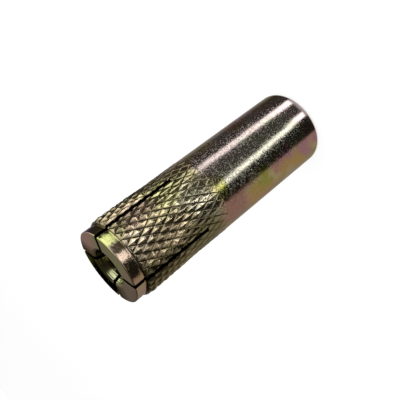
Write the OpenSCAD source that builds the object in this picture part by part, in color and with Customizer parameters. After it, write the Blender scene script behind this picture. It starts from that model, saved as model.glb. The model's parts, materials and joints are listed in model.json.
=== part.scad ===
// Drop-in anchor: a slotted, knurled steel shell with an internal thread at one end, and the expander
// plug that waits inside it. It stands on its threaded end, with the slotted nose up.

/* [Shell] */
// Length of the shell
shell_l = 50; // [42:1:80]
// Diameter of the plain body
body_d = 16; // [14:0.1:20]
// Rounding of the rim at the threaded end
end_edge_r = 0.9; // [0.2:0.1:1.2]

/* [Thread] */
// Bore of the thread, across its crests
thread_bore_d = 10.2; // [8.5:0.1:12]
// Depth of the thread from the end face
thread_l = 22; // [15:0.5:25]
// Width of the countersink at the thread's mouth
thread_sink = 0.9; // [0.3:0.1:1]

/* [Nose] */
// How far the plain nose lies below the body's surface
nose_step = 0.4; // [0.2:0.05:1]
// Length of the plain nose, from its face to the relief groove
nose_l = 2.15; // [1:0.05:5]
// Rounding of the rim at the nose's face
nose_edge_r = 0.1; // [0.05:0.05:0.8]
// Width of the relief groove between the nose and the knurl
relief_w = 0.35; // [0.2:0.05:1]
// Depth of that groove below the nose
relief_depth = 0.15; // [0.05:0.05:0.4]
// Bore at the nose's mouth
mouth_d = 7.4; // [5.8:0.1:8.4]
// Chamfer at its edge
mouth_chamfer = 0.3; // [0.1:0.1:0.6]
// Bore at the neck, the narrowest place behind the mouth
neck_d = 5.6; // [4:0.1:5.7]
// Depth of the neck from the nose's face
neck_l = 3; // [1:0.5:6]

/* [Knurl] */
// Length of the knurled band
knurl_l = 19.9; // [10:0.1:24]
// Number of diamonds round the band
knurl_count = 32; // [20:1:40]
// Angle of the grooves to the shell's axis
knurl_angle = 28; // [25:1:45]
// Height of the crests above the body, at the nose's end of the band
knurl_rise = 0.25; // [0.1:0.05:0.4]
// Depth of the grooves at the nose's end
knurl_depth = 0.4; // [0.2:0.05:0.6]
// Depth of the grooves where the band fades into the body
knurl_fade_depth = 0.05; // [0.05:0.05:0.3]

/* [Slots] */
// Number of slots, which part the nose into as many leaves
slot_count = 4; // [3:1:6]
// Width of a slot
slot_w = 0.8; // [0.4:0.1:1.5]
// Length of a slot from the nose's face
slot_l = 17.3; // [8:0.1:22]

/* [Plug] */
// Ledge between the thread's bore and the narrower bore that holds the plug
bore_ledge = 0.3; // [0.2:0.05:0.6]
// Length over which that bore tapers to the neck
taper_l = 14; // [8:0.5:16]
// Length of the plug
plug_l = 15; // [10:0.5:18]
// How far the plug reaches into the taper before it is driven
plug_seat_l = 5; // [2:0.5:7]
// Radial clearance round the plug
plug_gap = 0.05; // [0.02:0.01:0.1]
// Chamfer at the plug's driven end
plug_chamfer = 0.6; // [0.2:0.1:1]
// Chamfer at the plug's leading end
plug_lead = 0.4; // [0.2:0.1:1]
// Dimple in the driven end, where the setting tool strikes
dimple_d = 3.4; // [1:0.1:5]
// Depth of the dimple
dimple_l = 0.5; // [0.2:0.1:1]

/* [Hidden] */
$fn = 96;

body_r = body_d / 2;
nose_r = body_r - nose_step;

// Heights above the end face
nose_foot = shell_l - nose_l;
knurl_top = nose_foot - relief_w;
knurl_foot = knurl_top - knurl_l;
neck = shell_l - neck_l;
taper_foot = neck - taper_l;

// Radii of the bores, from the thread to the mouth
thread_r = thread_bore_d / 2;
plug_bore_r = thread_r - bore_ledge;
mouth_r = mouth_d / 2;
neck_r = neck_d / 2;
taper_slope = (plug_bore_r - neck_r) / taper_l;

// The diamonds: as many rows as bring the grooves nearest to their angle and still close the band
knurl_r = body_r + knurl_rise;
diamond_w = 2 * PI * knurl_r / knurl_count;
half_rows = max(2, round(knurl_l * 2 * tan(knurl_angle) / diamond_w));
half_row_l = knurl_l / half_rows;
columns = 2 * knurl_count;

// How far the plain body runs up over the foot of the band
knurl_lap = 0.2;
// Cuts run this far past the faces that they open
cut_over = 1;

// The plug is as wide as its bore allows, and its front follows the taper
plug_r = plug_bore_r - plug_gap;
plug_top = taper_foot + plug_seat_l;
plug_foot = plug_top - plug_l;
plug_tip_r = plug_r - plug_seat_l * taper_slope;

// Half section of the turned outside, with rounded rims, a core under the knurl and a relief groove
module outside_section() {
    square([body_r - end_edge_r, knurl_foot]);
    translate([0, end_edge_r])
        square([body_r, knurl_foot + knurl_lap - end_edge_r]);
    translate([body_r - end_edge_r, end_edge_r])
        circle(end_edge_r);
    square([nose_r - relief_depth, nose_foot]);
    translate([0, nose_foot])
        square([nose_r, nose_l - nose_edge_r]);
    square([nose_r - nose_edge_r, shell_l]);
    translate([nose_r - nose_edge_r, shell_l - nose_edge_r])
        circle(nose_edge_r);
}

// Half section of the bores: countersink, thread, plug bore, taper, neck and widening mouth
module bore_section() {
    polygon([
        [0, -cut_over],
        [thread_r + thread_sink + cut_over, -cut_over],
        [thread_r, thread_sink],
        [thread_r, thread_l],
        [plug_bore_r, thread_l],
        [plug_bore_r, taper_foot],
        [neck_r, neck],
        [mouth_r, shell_l - mouth_chamfer],
        [mouth_r + mouth_chamfer + cut_over, shell_l + cut_over],
        [0, shell_l + cut_over]
    ]);
}

// How far down the band a row lies, from 0 at the nose's end to 1 at the foot
function fade(row) = row / half_rows;
function crest_r(row) = knurl_r - knurl_rise * fade(row);
function groove_r(row) = crest_r(row) - knurl_depth - (knurl_fade_depth - knurl_depth) * fade(row);

// Crests and groove crossings alternate along each row, and the first and last rows have no crests
function is_crest(row, column) =
    row > 0 && row < half_rows && (row + column) % 2 == 1;
function knurl_point(row, column) =
    let (
        r = is_crest(row, column) ? crest_r(row) : groove_r(row),
        turn = 360 * (column + 0.5) / columns
    )
    [r * cos(turn), r * sin(turn), knurl_top - row * half_row_l];

function corner(row, column) = row * columns + column % columns;

// Each field between four points is folded along the groove that crosses it
function field_faces(row, column) =
    let (
        a = corner(row, column),
        b = corner(row, column + 1),
        c = corner(row + 1, column + 1),
        d = corner(row + 1, column)
    )
    (row + column) % 2 == 0 ? [[a, b, c], [a, c, d]] : [[a, b, d], [b, c, d]];

// The rolled band of diamonds, a slug that the bores and slots are cut through
module knurl() {
    points = [
        for (row = [0 : half_rows], column = [0 : columns - 1])
            knurl_point(row, column)
    ];
    sides = [
        for (row = [0 : half_rows - 1], column = [0 : columns - 1])
            each field_faces(row, column)
    ];
    top = [for (column = [columns - 1 : -1 : 0]) corner(0, column)];
    foot = [for (column = [0 : columns - 1]) corner(half_rows, column)];
    polyhedron(points, concat(sides, [top, foot]));
}

// The saw cuts that part the nose into leaves, with a leaf facing the front
module slots() {
    for (k = [0 : slot_count - 1])
        rotate(360 * (k + 0.5) / slot_count - 90)
            translate([0, -slot_w / 2, shell_l - slot_l])
                cube([knurl_r + cut_over, slot_w, slot_l + cut_over]);
}

// Shell: turned from steel bar, knurled, drilled, tapped and slotted in one piece
module shell() {
    color([0.70, 0.61, 0.34])
        difference() {
            union() {
                rotate_extrude()
                    outside_section();
                knurl();
            }
            rotate_extrude()
                bore_section();
            slots();
        }
}

// Expander plug: a short steel pin, dimpled where it is struck, whose front tapers as the bore does
module expander_plug() {
    color([0.60, 0.60, 0.58])
        rotate_extrude()
            polygon([
                [0, plug_foot + dimple_l],
                [dimple_d / 2, plug_foot],
                [plug_r - plug_chamfer, plug_foot],
                [plug_r, plug_foot + plug_chamfer],
                [plug_r, taper_foot],
                [plug_tip_r + plug_lead * taper_slope, plug_top - plug_lead],
                [plug_tip_r - plug_lead, plug_top],
                [0, plug_top]
            ]);
}

shell();
expander_plug();
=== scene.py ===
# Drop-in anchor: a knurled and slotted steel shell, tapped at one end, with its expander plug inside.
# It stands on the tapped end, and the camera looks down past the slotted nose.
import json
import math
import random

import bmesh
import bpy
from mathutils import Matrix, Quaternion, Vector


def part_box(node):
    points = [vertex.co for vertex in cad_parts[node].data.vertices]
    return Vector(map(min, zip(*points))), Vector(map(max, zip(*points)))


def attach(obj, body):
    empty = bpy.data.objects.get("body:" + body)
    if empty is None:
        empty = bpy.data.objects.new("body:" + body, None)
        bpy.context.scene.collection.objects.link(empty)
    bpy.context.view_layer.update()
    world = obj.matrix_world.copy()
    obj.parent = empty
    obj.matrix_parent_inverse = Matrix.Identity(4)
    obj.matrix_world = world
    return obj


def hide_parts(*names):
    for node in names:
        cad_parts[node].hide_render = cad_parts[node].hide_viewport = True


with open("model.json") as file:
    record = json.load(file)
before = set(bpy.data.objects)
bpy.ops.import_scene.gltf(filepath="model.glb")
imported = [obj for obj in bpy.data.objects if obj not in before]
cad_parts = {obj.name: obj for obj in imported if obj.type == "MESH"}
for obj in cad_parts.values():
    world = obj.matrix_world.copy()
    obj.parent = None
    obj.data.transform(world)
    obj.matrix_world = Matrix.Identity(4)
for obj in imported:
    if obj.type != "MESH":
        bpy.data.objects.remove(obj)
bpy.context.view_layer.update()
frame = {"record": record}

# Shell, turned: a steel bar with a plain body, a core that takes the knurl, a short nose and a stepped
# bore right through it. A ring of points is drawn along the half section of the bar until it closes.
MM = 0.001
COLUMNS = 64
HALF_ROWS = 13
mounts = {mount["name"]: mount for mount in frame["record"]["mounts"]}
body_r = mounts["body"]["dims"]["r_mm"] * MM
thread_r = mounts["thread"]["dims"]["r_mm"] * MM
shell_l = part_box("shell")[1][2]
end_edge_r = 0.9 * MM
end_ring_r = 6.55 * MM
body_foot = 1.6 * MM
sink = 0.9 * MM
thread_l = 22 * MM
nose_r = body_r - 0.4 * MM
nose_l = 2.15 * MM
nose_edge_r = 0.1 * MM
nose_rim_l = 0.3 * MM
nose_break_in = 0.05 * MM
nose_break_up = 0.08 * MM
face_ring_r = 6.7 * MM
nose_foot = shell_l - nose_l
relief_w = 0.35 * MM
relief_r = nose_r - 0.15 * MM
knurl_l = 19.9 * MM
knurl_run_in = 0.4 * MM
knurl_top = nose_foot - relief_w
knurl_foot = knurl_top - knurl_l
half_row = (knurl_top - knurl_foot) / HALF_ROWS
groove_top_r = body_r - 0.18 * MM
groove_foot_r = body_r - 0.02 * MM
groove_rise = 2.5
mouth_r = 3.7 * MM
mouth_edge = 0.3 * MM
mouth_flare = 0.6 * MM
mouth_l = 3 * MM
neck_r = 2.8 * MM
taper_l = 14 * MM
plug_bore_r = thread_r - 0.3 * MM
seam = 0.001 * MM
# The ring that the drill has left in the mouth: how far in from its wall, and how far below the face.
tool_ring = [(0.08 * MM, 0.5 * MM), (0.04 * MM, 0.6 * MM), (0.15 * MM, 0.7 * MM)]


def arc(middle_r, middle_z, radius, start, end, steps=3):
    """Points of a rounded rim, from one angle to another."""
    turns = [math.radians(start + (end - start) * k / steps) for k in range(steps + 1)]
    return [(middle_r + radius * math.cos(t), middle_z + radius * math.sin(t)) for t in turns]


def groove_r(height):
    """Radius at the bottom of the knurl's grooves."""
    share = (height - knurl_foot) / (knurl_top - knurl_foot)
    return groove_foot_r + (groove_top_r - groove_foot_r) * min(1, groove_rise * share)


def select(piece, kind, wanted):
    """Selects the points, edges or faces that the test wants, and nothing else."""
    kinds = ("VERT", "EDGE", "FACE")
    bpy.context.tool_settings.mesh_select_mode = [kind == name for name in kinds]
    bpy.ops.mesh.select_all(action="DESELECT")
    shape = bmesh.from_edit_mesh(piece.data)
    for item in (shape.verts, shape.edges, shape.faces)[kinds.index(kind)]:
        if wanted(item):
            item.select_set(True)
    shape.select_flush_mode()
    bmesh.update_edit_mesh(piece.data)


def turned(name, section, columns):
    """A ring of points drawn along a half section of radii and heights. It is left in edit mode."""
    bpy.ops.object.select_all(action="DESELECT")
    radius, height = section[0]
    bpy.ops.mesh.primitive_circle_add(vertices=columns, radius=radius, location=(0, 0, height))
    piece = bpy.context.object
    piece.name = name
    bpy.ops.object.transform_apply()
    bpy.ops.object.mode_set(mode="EDIT")
    bpy.ops.mesh.select_all(action="SELECT")
    for next_radius, next_height in section[1:]:
        rise = {"value": (0, 0, next_height - height)}
        bpy.ops.mesh.extrude_edges_move(TRANSFORM_OT_translate=rise)
        wider = next_radius / radius
        bpy.ops.transform.resize(value=(wider, wider, 1), center_override=(0, 0, next_height))
        radius, height = next_radius, next_height
    return piece


def close_turned():
    """Joins the last ring to the first and turns the faces outwards."""
    bpy.ops.mesh.select_all(action="SELECT")
    bpy.ops.mesh.remove_doubles(threshold=seam)
    bpy.ops.mesh.normals_make_consistent(inside=False)


def radius_of(place):
    """Distance from the axis."""
    return math.hypot(place.x, place.y)


outside = [
    (thread_r + sink, 0),
    (end_ring_r, 0),
    *arc(body_r - end_edge_r, end_edge_r, end_edge_r, -90, 0),
    (body_r, body_foot),
    (body_r, knurl_foot - knurl_run_in),
]
knurl_core = [
    (groove_r(knurl_foot + row * half_row), knurl_foot + row * half_row) for row in range(HALF_ROWS + 1)
]
nose = [
    (relief_r, knurl_top),
    (relief_r, nose_foot),
    (nose_r - nose_break_in, nose_foot),
    (nose_r, nose_foot + nose_break_up),
    (nose_r, shell_l - nose_edge_r - nose_rim_l),
    *arc(nose_r - nose_edge_r, shell_l - nose_edge_r, nose_edge_r, 0, 90, 1),
    (face_ring_r, shell_l),
]
mouth = [
    (mouth_r + mouth_flare, shell_l),
    (mouth_r, shell_l - mouth_edge),
    *[(mouth_r - inwards, shell_l - down) for inwards, down in tool_ring],
    (neck_r, shell_l - mouth_l),
]
bore = [
    (plug_bore_r, shell_l - mouth_l - taper_l),
    (plug_bore_r, thread_l),
    (thread_r, thread_l),
    (thread_r, sink),
    (thread_r + sink, 0),
]
shell = turned("shell_plated", outside + knurl_core + nose + mouth + bore, COLUMNS)
close_turned()

# Shell, knurled: two rolls press crossing grooves into the core, and the metal between them rises in
# diamonds, high and pointed by the nose, low and flat topped where the rolls lift off the plain body.
groove_lip = 0.07 * MM
groove_wall = 0.09 * MM
crest_lift = 1.02
crest_depth = 0.28 * MM
crest_rise = 0.6
crest_insets = (0.56 * MM, 0.34 * MM)
crest_jitter = 0.02 * MM
crest_sharpness = 0.6
dish = 0.06 * MM
near = 0.05 * MM
row_reach = 0.2 * MM
ring_reach = 0.02 * MM
chance = random.Random(12)


def row_of(height):
    """The half row of the knurl that is nearest to a height."""
    return round((height - knurl_foot) / half_row)


def column_of(place):
    """The column of points that a place lies in, round the axis."""
    return round(math.atan2(place.y, place.x) / (2 * math.pi) * COLUMNS)


def on_knurl(place):
    in_band = knurl_foot - near < place.z < knurl_top + near
    return in_band and radius_of(place) > nose_r + near


def is_crest(point):
    row = row_of(point.co.z)
    return on_knurl(point.co) and 0 < row < HALF_ROWS and (row + column_of(point.co)) % 2 == 1


def by_fade(pair, row):
    """A value between the nose's end of the knurl and its foot."""
    return pair[1] + (pair[0] - pair[1]) * row / HALF_ROWS


# The middles of the diamonds are lifted a little, so that the shorter diagonals run along the grooves.
select(shell, "VERT", is_crest)
bpy.ops.transform.resize(value=(crest_lift, crest_lift, 1), center_override=(0, 0, 0))
select(shell, "FACE", lambda face: all(on_knurl(point.co) for point in face.verts))
bpy.ops.mesh.quads_convert_to_tris(quad_method="SHORTEST_DIAGONAL")
select(shell, "VERT", is_crest)
bpy.ops.mesh.dissolve_verts()


def is_half_ridge(edge):
    first, second = (point.co for point in edge.verts)
    upright = math.hypot(first.x - second.x, first.y - second.y) < near
    return upright and on_knurl(first) and on_knurl(second)


select(shell, "EDGE", is_half_ridge)
bpy.ops.mesh.dissolve_edges(use_verts=False)

row_heights = [knurl_foot + row * half_row for row in range(1, HALF_ROWS)]
row_heights = [knurl_foot + half_row / 3, *row_heights, knurl_top - half_row / 3]
for row, height in enumerate(row_heights):
    depth = crest_depth * (row / HALF_ROWS) ** crest_rise
    inset = by_fade(crest_insets, row)
    if row in (0, HALF_ROWS):
        inset = inset / 2
        depth = depth / 2
    elif row < HALF_ROWS / 2:
        depth = depth - dish

    def in_row(face):
        middle = face.calc_center_median()
        return on_knurl(middle) and abs(middle.z - height) < row_reach

    select(shell, "FACE", in_row)
    bpy.ops.mesh.inset(thickness=groove_wall, depth=groove_lip, use_individual=True)
    bpy.ops.mesh.inset(thickness=inset, depth=depth, use_individual=True)


def by_place(point):
    """A fixed order for the points, whatever order the tools above have left them in."""
    return tuple(round(part / MM, 3) for part in point.co.zxy)


shape = bmesh.from_edit_mesh(shell.data)
for point in sorted(shape.verts, key=by_place):
    if on_knurl(point.co) and radius_of(point.co) > groove_r(point.co.z) + near:
        point.co.xy *= 1 + chance.uniform(-1, 1) * crest_jitter / body_r
bmesh.update_edit_mesh(shell.data)


# The bottoms of the grooves and the turned corners stay sharp when the surface is smoothed.
def is_groove(edge):
    return all(on_knurl(p.co) and radius_of(p.co) < groove_r(p.co.z) + near for p in edge.verts)


def is_crest_edge(edge):
    return all(on_knurl(p.co) for p in edge.verts) and not is_groove(edge)


sharp_rings = [outside[0], knurl_core[-1], *nose[:3], mouth[0], mouth[1], *bore[:4]]


def is_sharp_ring(edge):
    first, second = (point.co for point in edge.verts)
    if abs(first.z - second.z) > ring_reach / 2:
        return False
    return any(
        abs(radius_of(first) - radius) < ring_reach and abs(first.z - height) < ring_reach
        for radius, height in sharp_rings
    )


select(shell, "EDGE", lambda edge: is_groove(edge) or is_sharp_ring(edge))
bpy.ops.transform.edge_crease(value=1)
select(shell, "EDGE", is_crest_edge)
bpy.ops.transform.edge_crease(value=crest_sharpness)
bpy.ops.object.mode_set(mode="OBJECT")


def only(piece):
    """Selects one object and makes it the active one."""
    bpy.ops.object.select_all(action="DESELECT")
    piece.select_set(True)
    bpy.context.view_layer.objects.active = piece


def apply_modifier(piece, kind, **settings):
    """Adds a modifier with its settings and applies it."""
    only(piece)
    modifier = piece.modifiers.new(kind.title(), kind)
    for name, value in settings.items():
        setattr(modifier, name, value)
    bpy.ops.object.modifier_apply(modifier=modifier.name)


apply_modifier(shell, "SUBSURF", levels=2, render_levels=2)

# Shell, slotted: a slitting saw cuts twice across the nose, at right angles, and parts the steel into four
# leaves that can spread. Each cut has plain walls and a foot with slightly rounded corners.
SLOT_TURNS = (45, 135)
slot_w = 0.8 * MM
slot_l = 17.3 * MM
slot_foot_edge = 0.12 * MM


def cut(piece, cutter):
    """Takes the cutter's shape out of a piece, and the cutter away."""
    apply_modifier(piece, "BOOLEAN", operation="DIFFERENCE", solver="EXACT", object=cutter)
    bpy.data.objects.remove(cutter)


for slot_turn in SLOT_TURNS:
    bpy.ops.object.select_all(action="DESELECT")
    bpy.ops.mesh.primitive_cube_add(size=1, location=(0, 0, shell_l))
    saw = bpy.context.object
    saw.dimensions = (3 * body_r, slot_w, 2 * slot_l)
    saw.rotation_euler.z = math.radians(slot_turn)
    bpy.ops.object.transform_apply()
    bpy.ops.object.mode_set(mode="EDIT")
    select(saw, "EDGE", lambda edge: all(point.co.z < shell_l for point in edge.verts))
    bpy.ops.mesh.bevel(offset=slot_foot_edge, segments=2)
    bpy.ops.object.mode_set(mode="OBJECT")
    cut(shell, saw)

# Shell, tapped: a right-hand M12 thread cut into the bore by a tap. One tooth of the tap is drawn up a
# helix, and its lead narrows above the last full turn.
PITCH = 1.75 * MM
TAP_TURNS = 14
TAP_STEPS = 40
major_r = 6.0 * MM
tap_clear = 0.08 * MM
tap_core_r = thread_r - tap_clear
tap_foot = -1.5 * PITCH
tap_lead_l = 2.2 * PITCH
tap_lead_narrows = 0.26
tap_end = 1.2 * PITCH
weld = 0.005 * MM
# The corners of the tooth: each one's radius, and its height as a share of the pitch.
tooth = [(tap_core_r, 0.14), (major_r, 0.46), (major_r, 0.58), (tap_core_r, 0.9), (tap_core_r, 1)]


def close_end(piece, end_z, reach):
    """Draws the open edges near one end together to a point."""
    select(piece, "EDGE", lambda edge: edge.is_boundary and abs(edge.verts[0].co.z - end_z) < reach)
    bpy.ops.mesh.extrude_edges_move()
    bpy.ops.mesh.merge(type="CENTER")


bpy.ops.object.select_all(action="DESELECT")
bpy.ops.mesh.primitive_plane_add(size=MM)
tap = bpy.context.object
bpy.ops.object.mode_set(mode="EDIT")
select(tap, "VERT", lambda point: True)
bpy.ops.mesh.merge(type="CENTER")
bpy.ops.transform.translate(value=(tap_core_r, 0, tap_foot))
here = Vector((tap_core_r, 0, tap_foot))
for radius, share in tooth:
    there = Vector((radius, 0, tap_foot + share * PITCH))
    bpy.ops.mesh.extrude_region_move(TRANSFORM_OT_translate={"value": there - here})
    here = there
bpy.ops.object.mode_set(mode="OBJECT")
apply_modifier(
    tap, "SCREW", angle=2 * math.pi, screw_offset=PITCH, iterations=TAP_TURNS,
    steps=TAP_STEPS, render_steps=TAP_STEPS, use_merge_vertices=True, merge_threshold=2 * weld,
)
only(tap)
bpy.ops.object.mode_set(mode="EDIT")
bpy.ops.mesh.select_all(action="SELECT")
bpy.ops.mesh.remove_doubles(threshold=weld)
tap_top = max(point.co.z for point in bmesh.from_edit_mesh(tap.data).verts)
for end_z in (tap_foot, tap_top):
    close_end(tap, end_z, tap_end)
shape = bmesh.from_edit_mesh(tap.data)
for point in shape.verts:
    past = (point.co.z - (tap_top - PITCH - tap_lead_l)) / tap_lead_l
    if past > 0 and radius_of(point.co) > tap_core_r / 2:
        point.co.xy *= 1 - tap_lead_narrows * min(past, 1)
bmesh.update_edit_mesh(tap.data)
bpy.ops.mesh.select_all(action="SELECT")
bpy.ops.mesh.normals_make_consistent(inside=False)
bpy.ops.object.mode_set(mode="OBJECT")
cut(shell, tap)

# The cuts leave many-sided faces and slivers, which become clean triangles in two passes.
SLIVER = 0.002 * MM
only(shell)
bpy.ops.object.mode_set(mode="EDIT")
for clean_pass in range(2):
    select(shell, "VERT", lambda point: True)
    bpy.ops.mesh.remove_doubles(threshold=SLIVER)
    bpy.ops.mesh.dissolve_degenerate(threshold=SLIVER)
    bpy.ops.mesh.select_all(action="SELECT")
    bpy.ops.mesh.quads_convert_to_tris(quad_method="BEAUTY", ngon_method="BEAUTY")
bpy.ops.object.mode_set(mode="OBJECT")

# Shell, plated: the finished steel is coated with zinc and dipped in yellow chromate, a thin film whose
# colour drifts between gold, olive and rose. The zinc lies in fine specks, some of them rougher. Shade is
# painted into the film in the knurl's grooves and flanks, on the walls of the saw cuts, in the mouth and
# on the far leaf's face, and a pale green reflection is painted on one side of the mouth.
HALF = (0.5, 0.5, 0.5)
SMOOTH_ANGLE = math.radians(32)
gold = (0.47, 0.38, 0.20, 1)
pale_rose = (0.50, 0.41, 0.40, 1)
pale_green = (0.44, 0.43, 0.35, 1)
olive = (0.31, 0.32, 0.06, 1)
nose_green = (0.41, 0.45, 0.16, 1)
nose_tan = (0.44, 0.345, 0.26, 1)
rose = (0.44, 0.23, 0.20, 1)
violet = (0.41, 0.22, 0.26, 1)
ochre = (0.45, 0.30, 0.11, 1)
face_olive = (0.52, 0.50, 0.21, 1)
face_rose = (0.80, 0.42, 0.37, 1)
# The next two colours are a painted pale green reflection and painted shade, both in the mouth.
mouth_reflection = (0.72, 0.80, 0.46, 1)
mouth_shade = (0.10, 0.10, 0.03, 1)
# Painted shade, near black, on the far leaf's face.
far_face_shade = (0.04, 0.04, 0.012, 1)
knurl_tan = (0.74, 0.64, 0.39, 1)
# Painted shade in the knurl's grooves and on the flanks of its diamonds.
groove_shade_colour = (0.09, 0.072, 0.032, 1)
# Painted shade on the walls of the saw cuts.
slot_shade_colour = (0.05, 0.038, 0.018, 1)
# Each patch of the film: its angle from the front towards -X, its height, its size and its colour.
patches = [
    (-30, 3, 6.0, pale_rose),
    (-30, 10, 6.0, pale_rose),
    (-30, 18, 6.0, pale_rose),
    (-30, 25, 5.0, pale_rose),
    (-2, 2, 4.5, pale_rose),
    (2, 9, 5.5, pale_green),
    (4, 16, 5.5, pale_green),
    (6, 23, 5.0, pale_green),
    (-28, 49, 3.6, nose_green),
    (0, 49.0, 3.2, nose_tan),
    (-76, 49.0, 3.2, (0.52, 0.36, 0.36, 1)),
    (40, 49.0, 2.0, (0.44, 0.28, 0.21, 1)),
    (54, 49.0, 2.2, (0.36, 0.35, 0.16, 1)),
    (74, 49.0, 3.0, (0.42, 0.28, 0.22, 1)),
    (5, 27.5, 2.6, olive),
    (48, 24.8, 4.6, (0.37, 0.21, 0.17, 1)),
    (41, 18.2, 2.9, olive),
    (62, 17.8, 3.6, ochre),
    (34, 12.8, 2.2, rose),
    (34, 9.4, 3.2, violet),
    (48, 10, 2.6, ochre),
    (58, 5.8, 3.0, ochre),
    (66, 2.2, 2.4, olive),
    (38, 3.2, 3.4, violet),
    (74, 12.5, 3.4, olive),
]
face_patches = [
    (-95, 50, 6.0, face_rose),
    (36, 50, 4.4, (0.56, 0.44, 0.27, 1)),
    (90, 50, 7.6, (0.50, 0.35, 0.28, 1)),
    # The last two patches paint shade onto the far leaf's face: black, with dark olive near one of its
    # cuts.
    (180, 50, 9.5, far_face_shade),
    (-142, 50, 4.0, (0.20, 0.21, 0.06, 1)),
]
# A painted pale green reflection on one side of the mouth.
mouth_reflection_patches = [(120, 48.6, 7.5, mouth_reflection)]
knurl_patches = [
    (-38, 35.5, 5.0, (0.74, 0.72, 0.34, 1)),
    (-40, 43, 3.5, (0.78, 0.59, 0.45, 1)),
    (-2, 31.5, 5.0, (0.76, 0.73, 0.52, 1)),
    (20, 31.5, 5.0, (0.84, 0.78, 0.57, 1)),
    (34, 41, 6.0, (0.70, 0.56, 0.37, 1)),
    (0, 46, 5.0, (0.90, 0.76, 0.56, 1)),
    (66, 33, 8.0, (0.20, 0.18, 0.08, 1)),
    (62, 44, 8.0, (0.20, 0.165, 0.08, 1)),
]


def node(tree, kind, **settings):
    """Adds a shader node with its settings."""
    made = tree.nodes.new("ShaderNode" + kind)
    for name, value in settings.items():
        setattr(made, name, value)
    return made


def put(tree, socket, value):
    """Links an output to a socket, or sets the socket to a plain value."""
    if isinstance(value, bpy.types.NodeSocket):
        tree.links.new(value, socket)
    else:
        socket.default_value = value


def math_node(tree, operation, *values):
    """A Math node on numbers or outputs."""
    made = node(tree, "Math", operation=operation)
    for socket, value in zip(made.inputs, values):
        put(tree, socket, value)
    return made.outputs[0]


def vector_node(tree, operation, *values):
    """A Vector Math node on vectors or outputs."""
    made = node(tree, "VectorMath", operation=operation)
    for socket, value in zip(made.inputs, values):
        put(tree, socket, value)
    return made.outputs["Value" if operation in ("LENGTH", "DISTANCE") else "Vector"]


def span(tree, value, low, high, first=0.0, last=1.0):
    """Maps a value from low..high to first..last."""
    made = node(tree, "MapRange")
    limits = {"Value": value, "From Min": low, "From Max": high, "To Min": first, "To Max": last}
    for name, number in limits.items():
        put(tree, made.inputs[name], number)
    return made.outputs["Result"]


def noise(tree, vector, scale, detail=2.0, roughness=0.5):
    """A noise texture laid over a vector."""
    made = node(tree, "TexNoise")
    settings = {"Vector": vector, "Scale": scale, "Detail": detail, "Roughness": roughness}
    for name, value in settings.items():
        put(tree, made.inputs[name], value)
    return made


def mix_colours(tree, share, first, second):
    """Mixes a share of the second colour into the first."""
    made = node(tree, "Mix", data_type="RGBA")
    for socket, value in ((made.inputs[0], share), (made.inputs[6], first), (made.inputs[7], second)):
        put(tree, socket, value)
    return made.outputs[2]


def make_grain_group():
    """Turning marks round the axis and tilted specks, for every turned piece."""
    speck_start = 0.55
    speck_tilt = 0.1
    group = bpy.data.node_groups.new("turned_grain", "ShaderNodeTree")
    for name, value in (("Flake Tilt", 0.03), ("Flake Scale", 5000.0), ("Mark Scale", 2600.0)):
        socket = group.interface.new_socket(name, in_out="INPUT", socket_type="NodeSocketFloat")
        socket.default_value = value
    results = {"Marks": "Float", "Radius": "Float", "Specks": "Float", "Flakes": "Vector"}
    for name, kind in results.items():
        group.interface.new_socket(name, in_out="OUTPUT", socket_type="NodeSocket" + kind)
    given = group.nodes.new("NodeGroupInput").outputs
    result = group.nodes.new("NodeGroupOutput").inputs
    place = node(group, "TexCoord").outputs["Object"]
    radius = vector_node(group, "LENGTH", vector_node(group, "MULTIPLY", place, (1, 1, 0)))
    height = node(group, "SeparateXYZ")
    put(group, height.inputs[0], place)
    rings = node(group, "CombineXYZ")
    put(group, rings.inputs["X"], radius)
    put(group, rings.inputs["Y"], height.outputs["Z"])
    marks = noise(group, rings.outputs[0], given["Mark Scale"], 3.0, 0.6)
    put(group, result["Marks"], marks.outputs["Fac"])
    put(group, result["Radius"], radius)
    cells = node(group, "TexVoronoi")
    put(group, cells.inputs["Vector"], place)
    put(group, cells.inputs["Scale"], given["Flake Scale"])
    lean = vector_node(group, "SUBTRACT", cells.outputs["Color"], HALF)
    chosen = node(group, "TexWhiteNoise")
    put(group, chosen.inputs["Vector"], cells.outputs["Position"])
    specks = span(group, chosen.outputs["Value"], speck_start, 1.0)
    put(group, result["Specks"], specks)
    tilt = node(group, "VectorMath", operation="SCALE")
    put(group, tilt.inputs[0], lean)
    steeper = math_node(group, "MULTIPLY_ADD", specks, speck_tilt, given["Flake Tilt"])
    put(group, tilt.inputs["Scale"], steeper)
    facing = node(group, "NewGeometry").outputs["Normal"]
    flakes = vector_node(group, "NORMALIZE", vector_node(group, "ADD", facing, tilt.outputs[0]))
    put(group, result["Flakes"], flakes)
    return group


turned_grain = make_grain_group()
plated = bpy.data.materials.new("yellow_zinc_plating")
plated.use_nodes = True
tree = plated.node_tree
shader = tree.nodes["Principled BSDF"]
put(tree, shader.inputs["Metallic"], 1.0)
place = node(tree, "TexCoord").outputs["Object"]
sides = node(tree, "SeparateXYZ")
put(tree, sides.inputs[0], place)
side_x, side_y, height = sides.outputs
grain = node(tree, "Group", node_tree=turned_grain)
put(tree, grain.inputs["Flake Tilt"], 0.04)
put(tree, grain.inputs["Flake Scale"], 5500.0)

# The film drifts from gold to rose and olive, and its patches have wavering edges.
WAVER = (0.007, 0.007, 0.012)
PATCH_STRENGTH = 0.9
drawn = vector_node(tree, "MULTIPLY", place, (1, 1, 0.6))
warm = span(tree, noise(tree, drawn, 120.0).outputs["Fac"], 0.42, 0.62)
green = span(tree, noise(tree, drawn, 190.0).outputs["Fac"], 0.52, 0.68)
film = mix_colours(tree, warm, gold, rose)
film = mix_colours(tree, math_node(tree, "MULTIPLY", green, 0.6), film, olive)
waver = vector_node(tree, "SUBTRACT", noise(tree, place, 220.0, 3.0).outputs["Color"], HALF)
waver = vector_node(tree, "ADD", place, vector_node(tree, "MULTIPLY", waver, WAVER))


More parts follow.
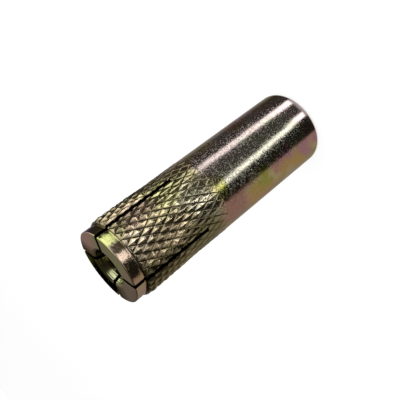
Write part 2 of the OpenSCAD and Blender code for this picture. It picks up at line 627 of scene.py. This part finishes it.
def add_patches(film, places, drift):
    """Lays patches of colour over a film."""
    for facing, patch_z, size, colour in places:
        turn = math.radians(facing)
        middle = (-body_r * math.sin(turn), -body_r * math.cos(turn), patch_z * MM)
        away_from = vector_node(tree, "DISTANCE", drift, middle)
        cover = span(tree, away_from, size * MM, 0.5 * size * MM, 0.0, PATCH_STRENGTH)
        film = mix_colours(tree, cover, film, colour)
    return film


film = add_patches(film, patches, waver)

# The nose's face is olive, with shade painted near black onto the far leaf's face. In the mouth, shade is
# painted dark into the film, with a painted pale green reflection on one side.
face_skin = (0.08 * MM, 0.02 * MM)
mouth_fade = 8 * MM
on_face = span(tree, height, shell_l - face_skin[0], shell_l - face_skin[1])
face_film_and_shade = add_patches(face_olive, face_patches, place)
film = mix_colours(tree, on_face, film, face_film_and_shade)
in_mouth = span(tree, grain.outputs["Radius"], mouth_r + mouth_flare, mouth_r, 0.0, 0.85)
up_mouth = span(tree, height, shell_l - mouth_fade, shell_l - mouth_l)
in_mouth = math_node(tree, "MULTIPLY", in_mouth, up_mouth)
film = mix_colours(tree, in_mouth, film, add_patches(mouth_shade, mouth_reflection_patches, place))

# The rolled band is tan, and shade is painted into it, darkest at the bottom of its grooves.
band_start = (0.5 * MM, 2.5 * MM)
band_end = 0.2 * MM
groove_shade_depths = (0.11 * MM, 0.02 * MM)
up_band = span(tree, height, knurl_foot - band_start[0], knurl_foot + band_start[1])
on_band = math_node(tree, "MULTIPLY", up_band, span(tree, height, knurl_top + band_end, knurl_top))
rolled = add_patches(mix_colours(tree, 0.7, film, knurl_tan), knurl_patches, waver)
film = mix_colours(tree, on_band, film, rolled)
groove_end = knurl_foot + (knurl_top - knurl_foot) / groove_rise
bottom = span(tree, height, knurl_foot, groove_end, groove_foot_r, groove_top_r)
over_bottom = math_node(tree, "SUBTRACT", grain.outputs["Radius"], bottom)
groove_shade = math_node(tree, "MULTIPLY", span(tree, over_bottom, *groove_shade_depths, 0.0, 0.94), on_band)

# Shade is painted onto the lower flanks of the diamonds, and their crests stay bright.
crest_level = span(tree, height, knurl_foot, knurl_top, groove_lip, groove_lip + crest_depth)
up_flank = math_node(tree, "DIVIDE", over_bottom, crest_level)
flank_shade = math_node(tree, "MULTIPLY", span(tree, up_flank, 0.8, 0.4, 0.0, 0.5), on_band)
film = mix_colours(tree, flank_shade, film, groove_shade_colour)

# The painted shade is darker in the grooves of one hand than in those of the other. All of it is paler on
# the -X side.
paler_side = (-5.2 * MM, -6.4 * MM)
column = math_node(tree, "ARCTAN2", side_y, side_x)
column = math_node(tree, "MULTIPLY", column, COLUMNS / (2 * math.pi))
row = math_node(tree, "MULTIPLY_ADD", height, 1 / half_row, -knurl_foot / half_row)
from_groove = math_node(tree, "PINGPONG", math_node(tree, "SUBTRACT", column, row), 1.0)
hand_shade = span(tree, from_groove, 0.12, 0.3, 1.0, 0.4)
hand_shade = math_node(tree, "MULTIPLY", hand_shade, span(tree, side_x, *paler_side, 1.0, 0.35))
film = mix_colours(tree, math_node(tree, "MULTIPLY", groove_shade, hand_shade), film, groove_shade_colour)

# Shade is painted dark onto the walls of the saw cuts.
wall_skin = 0.005 * MM
foot_skin = 0.05 * MM
first_cut = math_node(tree, "ABSOLUTE", math_node(tree, "ADD", side_x, side_y))
second_cut = math_node(tree, "ABSOLUTE", math_node(tree, "SUBTRACT", side_x, side_y))
off_cut = math_node(tree, "MINIMUM", first_cut, second_cut)
slot_shade = math_node(tree, "LESS_THAN", off_cut, (slot_w / 2 + wall_skin) * math.sqrt(2))
up_slot = math_node(tree, "GREATER_THAN", height, shell_l - slot_l - foot_skin)
slot_shade = math_node(tree, "MULTIPLY", slot_shade, up_slot)
film = mix_colours(tree, math_node(tree, "MULTIPLY", slot_shade, 0.9), film, slot_shade_colour)
put(tree, shader.inputs["Base Color"], film)

# Seen edge on, the film stays duller than plain metal, most of all on the far leaf's face, where the
# painted shade also dims its sheen.
EDGE_TINT = 0.7
FACE_TINT = 1.7
face_level = node(tree, "RGBToBW")
put(tree, face_level.inputs[0], face_film_and_shade)
duller = math_node(tree, "MULTIPLY_ADD", face_level.outputs[0], FACE_TINT, -EDGE_TINT)
put(tree, shader.inputs["Specular Tint"], math_node(tree, "MULTIPLY_ADD", on_face, duller, EDGE_TINT))

# The plating is a little cloudy, and its specks are roughest on the plain body next to the knurl.
cloudy = span(tree, noise(tree, place, 900.0, 3.0).outputs["Fac"], 0.3, 0.7, 0.09, 0.17)
flaky = span(tree, height, 0, knurl_foot, 0.2, 0.42)
flaky = math_node(tree, "MULTIPLY", flaky, span(tree, up_band, 0.0, 1.0, 1.0, 0.3))
flaky = math_node(tree, "MULTIPLY", flaky, span(tree, height, knurl_top, nose_foot, 1.0, 0.4))
dullness = math_node(tree, "MULTIPLY_ADD", grain.outputs["Specks"], flaky, cloudy)
put(tree, shader.inputs["Roughness"], dullness)

# The drill has left rings in the mouth, and the rolls have torn the diamonds a little.
MOUTH_MARK = 0.4 * MM
MOUTH_MARK_WEIGHT = 2.0
TORN_WEIGHT = 10.0
bump = node(tree, "Bump")
put(tree, bump.inputs["Strength"], 0.3)
put(tree, bump.inputs["Distance"], 0.01 * MM)
tool_marks = math_node(tree, "SINE", math_node(tree, "MULTIPLY", height, 2 * math.pi / MOUTH_MARK))
tool_marks = math_node(tree, "MULTIPLY", tool_marks, in_mouth)
torn = math_node(tree, "MULTIPLY", noise(tree, place, 2200.0, 2.0).outputs["Fac"], on_band)
torn = math_node(tree, "MULTIPLY", torn, TORN_WEIGHT)
rough = math_node(tree, "MULTIPLY_ADD", tool_marks, MOUTH_MARK_WEIGHT, torn)
put(tree, bump.inputs["Height"], math_node(tree, "ADD", rough, grain.outputs["Marks"]))
put(tree, bump.inputs["Normal"], grain.outputs["Flakes"])
put(tree, shader.inputs["Normal"], bump.outputs["Normal"])
shell.data.materials.clear()
shell.data.materials.append(plated)
only(shell)
bpy.ops.object.shade_smooth_by_angle(angle=SMOOTH_ANGLE)
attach(shell, "root")
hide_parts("shell")

# Expander plug: a short pin of bare turned steel, waiting in its bore with its tapered front to the nose.
# A setting tool strikes the dimpled end and drives it up the taper.
PLUG_COLUMNS = 48
plug_low, plug_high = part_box("expander_plug")
plug_r = plug_high[0]
plug_tip_r = 4.09 * MM
plug_chamfer = 0.6 * MM
plug_lead = 0.4 * MM
plug_tip_ring_r = 1.0 * MM
plug_bevel = 0.12 * MM
plug_bevel_angle = math.radians(25)
taper_foot = shell_l - mouth_l - taper_l
# The dimple in the struck end: each ring's radius, and its height above the end.
dimple = [(0.2 * MM, 0.5 * MM), (1.4 * MM, 0.05 * MM), (1.7 * MM, 0)]
plug_section = [
    *[(radius, plug_low[2] + up) for radius, up in dimple],
    (plug_r - plug_chamfer, plug_low[2]),
    (plug_r, plug_low[2] + plug_chamfer),
    (plug_r, taper_foot),
    (plug_tip_r, plug_high[2] - plug_lead),
    (plug_tip_r - plug_lead, plug_high[2]),
    (plug_tip_ring_r, plug_high[2]),
]
plug = turned("expander_plug_steel", plug_section, PLUG_COLUMNS)
for end_z in (plug_section[0][1], plug_section[-1][1]):
    close_end(plug, end_z, ring_reach / 2)
bpy.ops.mesh.select_all(action="SELECT")
bpy.ops.mesh.normals_make_consistent(inside=False)
bpy.ops.object.mode_set(mode="OBJECT")
apply_modifier(
    plug, "BEVEL", width=plug_bevel, segments=2, limit_method="ANGLE", angle_limit=plug_bevel_angle,
)

dark_steel = (0.42, 0.41, 0.38, 1)
light_steel = (0.60, 0.59, 0.56, 1)
steel = bpy.data.materials.new("bare_turned_steel")
steel.use_nodes = True
tree = steel.node_tree
shader = tree.nodes["Principled BSDF"]
grain = node(tree, "Group", node_tree=turned_grain)
put(tree, grain.inputs["Flake Tilt"], 0.08)
place = node(tree, "TexCoord").outputs["Object"]
tone = noise(tree, place, 400.0, 3.0).outputs["Fac"]
put(tree, shader.inputs["Base Color"], mix_colours(tree, tone, dark_steel, light_steel))
put(tree, shader.inputs["Metallic"], 1.0)
put(tree, shader.inputs["Roughness"], 0.34)
bump = node(tree, "Bump")
put(tree, bump.inputs["Strength"], 0.7)
put(tree, bump.inputs["Distance"], 0.02 * MM)
put(tree, bump.inputs["Height"], grain.outputs["Marks"])
put(tree, bump.inputs["Normal"], grain.outputs["Flakes"])
put(tree, shader.inputs["Normal"], bump.outputs["Normal"])
plug.data.materials.append(steel)
only(plug)
bpy.ops.object.shade_smooth_by_angle(angle=SMOOTH_ANGLE)
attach(plug, "root")
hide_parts("expander_plug")

# Camera: in front of the anchor and close to it, looking down past the nose. It is rolled, so that in the
# picture the anchor lies slantwise and the nose points to the lower left.
camera_elevation = math.radians(27.12)
camera_roll = math.radians(128.07)
camera_distance = 109.29 * MM
camera_aim = Vector((-0.557, 0, 27.602)) * MM
away = Vector((0, -math.cos(camera_elevation), math.sin(camera_elevation)))
bpy.ops.object.camera_add(location=camera_aim + away * camera_distance)
camera = bpy.context.object
upright = away.to_track_quat("Z", "Y")
camera.rotation_euler = (Quaternion(-away, camera_roll) @ upright).to_euler()
camera.data.sensor_width = 36
camera.data.lens = 51.24
camera.data.clip_start = MM
bpy.context.scene.camera = camera

# Floor: a wide table with a plain pale top, just under the end that the anchor stands on. It is white to
# the camera and in the metal, and keeps a soft shadow.
floor_size = 6
floor_gap = 0.02 * MM
floor_white = 0.8
floor_grey = (0.86, 0.86, 0.86, 1)


def white_to_the_eye(tree):
    """One for camera, glossy and transmission rays, else none."""
    path = node(tree, "LightPath")
    seen = math_node(tree, "ADD", path.outputs["Is Camera Ray"], path.outputs["Is Glossy Ray"])
    seen = math_node(tree, "ADD", seen, path.outputs["Is Transmission Ray"])
    return math_node(tree, "MINIMUM", seen, 1.0)


bpy.ops.object.select_all(action="DESELECT")
bpy.ops.mesh.primitive_plane_add(size=floor_size, location=(0, 0, -floor_gap))
floor = bpy.context.object
floor.name = "floor"
table_top = bpy.data.materials.new("pale_floor")
table_top.use_nodes = True
tree = table_top.node_tree
shader = tree.nodes["Principled BSDF"]
put(tree, shader.inputs["Base Color"], floor_grey)
put(tree, shader.inputs["Roughness"], 0.9)
glow = node(tree, "Emission")
both = node(tree, "MixShader")
put(tree, both.inputs[0], math_node(tree, "MULTIPLY", white_to_the_eye(tree), floor_white))
put(tree, both.inputs[1], shader.outputs[0])
put(tree, both.inputs[2], glow.outputs[0])
put(tree, tree.nodes["Material Output"].inputs["Surface"], both.outputs[0])
floor.data.materials.append(table_top)

# Sweep: a dark studio tent round the anchor with pale strips on its floor, seen only in the metal. The
# strips run outwards from the anchor, so that each shows along the body as one line.
SWEEP_LEVEL = 0.2 * MM
SWEEP_SPAN = 300 * MM
SWEEP_BEND = 100 * MM
SWEEP_LEAN = math.radians(5.1)
DOME_R = 400 * MM
FLOOR_SHARE = 0.5
WALL_SHARE = 0.62
bpy.ops.object.select_all(action="DESELECT")
bpy.ops.mesh.primitive_grid_add(x_subdivisions=180, y_subdivisions=80, size=2)
sweep = bpy.context.object
sweep.name = "studio_sweep"


def sweep_place(across, along):
    """Where a point of the sweep lies, by its shares from 0 to 1 round the anchor and outwards."""
    facing = math.radians(-90 + 180 * across)
    turn = 2 * facing + SWEEP_LEAN * math.sin(facing)
    start = body_r
    if along < FLOOR_SHARE:
        out, up = SWEEP_SPAN * (along / FLOOR_SHARE) ** 2, 0
    elif along < WALL_SHARE:
        bend = (along - FLOOR_SHARE) / (WALL_SHARE - FLOOR_SHARE) * math.pi / 2
        out, up = SWEEP_SPAN + SWEEP_BEND * math.sin(bend), SWEEP_BEND * (1 - math.cos(bend))
    else:
        rise = (along - WALL_SHARE) / (1 - WALL_SHARE) * math.pi / 2
        out, up = DOME_R * math.cos(rise), SWEEP_BEND + DOME_R * math.sin(rise)
        start = body_r * math.cos(rise)
    x = -start * math.sin(facing) - out * math.sin(turn)
    y = -start * math.cos(facing) - out * math.cos(turn)
    return Vector((x, y, SWEEP_LEVEL + up))


for point in sweep.data.vertices:
    point.co = sweep_place((point.co.x + 1) / 2, (point.co.y + 1) / 2)

# Levels and tints of light by the angle round the body at which they show, for each band of the sweep.
FADE_IN = 2.5
FADE_OUT = 3
shade = (1.0, 0.94, 0.84)
greenish = (0.95, 1.0, 0.9)
white = (1.0, 1.0, 1.0)
table = [(27, 0.025, greenish), (30, 0.55, shade), (60, 0.57, shade), (80, 0.5, shade), (90, 0.4, shade)]
nose_table = [(31, 0.02, greenish), (35, 0.55, shade), (60, 0.57, shade), (90, 0.4, shade)]
edge = [(-90, 0.4, white), (-72, 0.5, white), (-60, 0.07, shade)]
nose_edge = [(-90, 0.4, white), (-78, 0.35, white), (-68, 0.03, shade)]
rim_glow = edge + [(-36, 0.06, shade), (-32, 0.7, white), (1, 0.7, white), (5, 0.05, greenish)] + table


def strips(ends, first, first_level, gap_level, second, second_level, rest):
    """Two strips, each from one angle to another, with a dim gap between them and dark beyond."""
    return ends + [
        (first[0] - FADE_IN, 0.05, shade),
        (first[0], first_level, white),
        (first[1], first_level, white),
        (first[1] + FADE_OUT, gap_level, shade),
        (second[0] - FADE_IN, gap_level, shade),
        (second[0], second_level, white),
        (second[1], second_level, white),
        (second[1] + FADE_OUT, 0.02, greenish),
    ] + rest


end_strips = strips(edge, (-32.5, -26), 3.0, 0.07, (-4, 0.5), 3.0, table)
middle_strips = strips(edge, (-32.5, -27), 2.6, 0.08, (-0.5, 3), 3.0, table)
body_strips = strips(edge, (-32.5, -27.5), 2.3, 0.08, (2.2, 5.2), 3.0, table)
foot_strips = strips(edge, (-32.5, -28), 1.9, 0.08, (4.6, 7.4), 2.7, table)
nose_strips = strips(nose_edge, (-35, -22), 1.3, 0.12, (-4, 4), 1.6, nose_table)
rim_strips = strips(nose_edge, (-36, -22), 2.5, 0.12, (-4, 4), 2.6, nose_table)
low_wall = [
    (-90, 0.25, shade),
    (-75, 0.35, shade),
    (-60, 0.7, white),
    (-42, 1.6, white),
    (-22, 1.6, white),
    (-10, 0.55, white),
    (12, 0.55, white),
    (20, 0.10, shade),
    (60, 0.10, shade),
    (90, 0.25, shade),
]
high_wall = [
    (-90, 0.26, shade),
    (-75, 0.3, shade),
    (-50, 1.6, white),
    (-14, 1.6, white),
    (-6, 0.08, shade),
    (60, 0.08, shade),
    (90, 0.26, shade),
]
ceiling = [(-48, 0.08, shade), (-42, 1.2, white), (5, 1.2, white), (10, 0.08, shade)]
tent_top = [(-90, 0.4, shade), (90, 0.4, shade)]
# Each band: the shares outwards at which it starts and is full, and its levels.
bands = [
    (0.026, 0.036, end_strips),
    (0.06, 0.09, middle_strips),
    (0.10, 0.14, body_strips),
    (0.16, 0.20, foot_strips),
    (0.24, 0.30, nose_strips),
    (0.335, 0.36, rim_strips),
    (0.44, 0.50, low_wall),
    (0.61, 0.64, high_wall),
    (0.80, 0.83, ceiling),
    (0.93, 0.96, tent_top),
]
BRIGHTEST = 3.0
card = bpy.data.materials.new("sweep_card")
card.use_nodes = True
tree = card.node_tree
tree.nodes.remove(tree.nodes["Principled BSDF"])
shares = node(tree, "SeparateXYZ")
put(tree, shares.inputs[0], node(tree, "TexCoord").outputs["UV"])
across, along = shares.outputs["X"], shares.outputs["Y"]


def strip_ramp(levels):
    """The colours of one band of the sweep, from its levels and tints."""
    ramp = node(tree, "ValToRGB")
    points = ramp.color_ramp.elements
    for index, (facing, level, tint) in enumerate(levels):
        share = (facing + 90) / 180
        point = points[index] if index < 2 else points.new(share)
        point.position = share
        point.color = (*[level / BRIGHTEST * part for part in tint], 1)
    put(tree, ramp.inputs["Fac"], across)
    return ramp.outputs["Color"]


light = strip_ramp(rim_glow)
for starts, full, levels in bands:
    light = mix_colours(tree, span(tree, along, starts, full), light, strip_ramp(levels))
glow = node(tree, "Emission")
put(tree, glow.inputs["Strength"], BRIGHTEST)
put(tree, glow.inputs["Color"], light)
put(tree, tree.nodes["Material Output"].inputs["Surface"], glow.outputs[0])
sweep.data.materials.append(card)
sweep.visible_camera = False
sweep.visible_diffuse = False
sweep.visible_shadow = False
sweep.visible_transmission = False

# Light: an even white room, and a wide soft lamp overhead that makes the shadow on the table. The metal
# doesn't mirror the lamp, only the sweep and the table.
lamp_place = (0.1, -0.1, 0.45)
lamp_size = 0.5
lamp_power = 2.0
bpy.ops.object.light_add(type="AREA", location=lamp_place)
lamp = bpy.context.object
lamp.data.shape = "DISK"
lamp.data.size = lamp_size
lamp.data.energy = lamp_power
lamp.visible_glossy = False
world = bpy.data.worlds.new("white_room")
bpy.context.scene.world = world
world.use_nodes = True
tree = world.node_tree
put(tree, tree.nodes["Background"].inputs["Color"], (1, 1, 1, 1))
put(tree, tree.nodes["Background"].inputs["Strength"], 1.0)
bpy.context.scene.view_settings.view_transform = "Standard"
